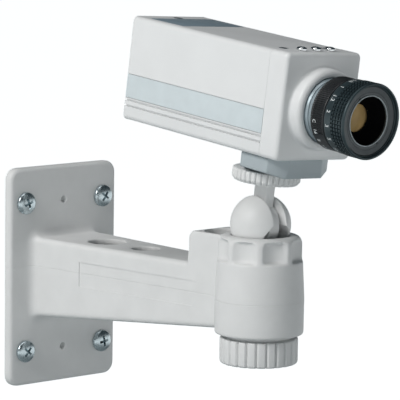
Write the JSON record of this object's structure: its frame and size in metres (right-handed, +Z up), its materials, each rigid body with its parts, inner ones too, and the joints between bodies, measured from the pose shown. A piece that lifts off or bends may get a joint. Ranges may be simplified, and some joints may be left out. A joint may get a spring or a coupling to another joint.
{
  "type": "security camera on wall bracket",
  "caption": "Box-type security camera with a manual lens, carried on a swivel and tilt head at the end of a moulded wall bracket.",
  "frame": {"origin": "centre of the wall plate's back face, where it lies on the wall", "axes": "+X straight out of the wall along the arm, +Y along the wall, +Z up"},
  "size_m": [0.2612, 0.081, 0.2246],
  "materials": {
    "bracket_plastic": "fine moulded texture, pale grey",
    "housing_paint": "satin powder coat, pale grey",
    "stripe_film": "satin film, pale blue grey",
    "label_film": "satin film, slate grey, unprinted",
    "block_plastic": "fine moulded texture, grey",
    "zinc": "bright zinc plating",
    "chrome_plate": "polished plating",
    "steel": "plain turned steel",
    "brass": "turned brass",
    "alloy": "satin turned alloy",
    "lens_black": "black anodised",
    "lens_grip": "moulded rubber grip",
    "name_ring_grey": "dark grey anodised",
    "coated_glass": "amber anti-reflection coating",
    "clear_glass": "clear",
    "circuit_board": "green solder mask",
    "chip_black": "moulded package",
    "nylon": "natural nylon",
    "terminal_green": "moulded terminal",
    "lamp_red": "tinted lamp body"
  },
  "bodies": {
    "bracket": {"wall_bracket": "bracket_plastic", "wall_screw_top_near": "zinc", "wall_screw_top_far": "zinc", "wall_screw_bottom_near": "zinc", "wall_screw_bottom_far": "zinc", "swivel_bushing": "nylon"},
    "fork": {"swivel_fork": "bracket_plastic", "tilt_pin": "steel", "tension_bolt": "steel", "thrust_washer": "steel"},
    "knob": {"lock_knob": "bracket_plastic", "knob_insert": "brass"},
    "stem": {"tilt_stem": "bracket_plastic", "stem_stud": "steel"},
    "ring": {"lock_ring": "bracket_plastic"},
    "camera": {"mount_block": "block_plastic", "block_insert": "brass", "housing_shell": "housing_paint", "front_bezel": "housing_paint", "rear_panel": "housing_paint", "stripe_near": "stripe_film", "stripe_far": "stripe_film", "top_label": "label_film", "video_socket": "chrome_plate", "power_terminal": "terminal_green", "iris_socket": "chip_black", "status_lamp": "lamp_red", "main_board": "circuit_board", "power_board": "circuit_board", "board_link": "chip_black", "sensor_board": "circuit_board", "image_sensor": "chip_black", "infrared_filter": "clear_glass", "mount_ring": "alloy", "lens_body": "alloy", "rear_glass": "clear_glass", "iris_diaphragm": "steel", "bezel_screw_near": "chrome_plate", "bezel_screw_middle": "chrome_plate", "bezel_screw_far": "chrome_plate", "block_screw_near": "steel", "block_screw_far": "steel", "cover_screw_near": "steel", "cover_screw_far": "steel", "cover_screw_rear": "steel", "rear_screw_low_near": "steel", "rear_screw_low_far": "steel", "rear_screw_high_near": "steel", "rear_screw_high_far": "steel", "board_pillar_1": "brass", "board_pillar_2": "brass", "board_pillar_3": "brass", "board_pillar_4": "brass"},
    "iris": {"iris_ring": "lens_black"},
    "focus": {"focus_ring": "lens_grip", "front_cell": "lens_black", "name_ring": "name_ring_grey", "front_glass": "coated_glass"}
  },
  "joints": [
    {"name": "pan", "type": "hinge", "parent": "bracket", "child": "fork", "pos_m": [0.1766, 0, 0.0486], "axis": [0, 0, 1], "range_deg": [-90, 90]},
    {"name": "knob_turn", "type": "hinge", "parent": "fork", "child": "knob", "pos_m": [0.1766, 0, -0.02], "axis": [0, 0, -1], "range_deg": [0, 360]},
    {"name": "tilt", "type": "hinge", "parent": "fork", "child": "stem", "pos_m": [0.1766, 0, 0.0486], "axis": [0.0227, 0.9997, 0], "range_deg": [-35, 75]},
    {"name": "ring_turn", "type": "hinge", "parent": "stem", "child": "ring", "pos_m": [0.17912, 0.00138, 0.07595], "axis": [-0.0917, -0.0503, -0.9945], "range_deg": [0, 360]},
    {"name": "camera_turn", "type": "hinge", "parent": "stem", "child": "camera", "pos_m": [0.1799, 0.00181, 0.0844], "axis": [0.0917, 0.0503, 0.9945], "range_deg": [-180, 180]},
    {"name": "iris_turn", "type": "hinge", "parent": "camera", "child": "iris", "pos_m": [0.21848, 0.00278, 0.11629], "axis": [0.9956, -0.0226, -0.0906], "range_deg": [-40, 40]},
    {"name": "focus_turn", "type": "hinge", "parent": "camera", "child": "focus", "pos_m": [0.21848, 0.00278, 0.11629], "axis": [0.9956, -0.0226, -0.0906], "range_deg": [0, 120]}
  ]
}
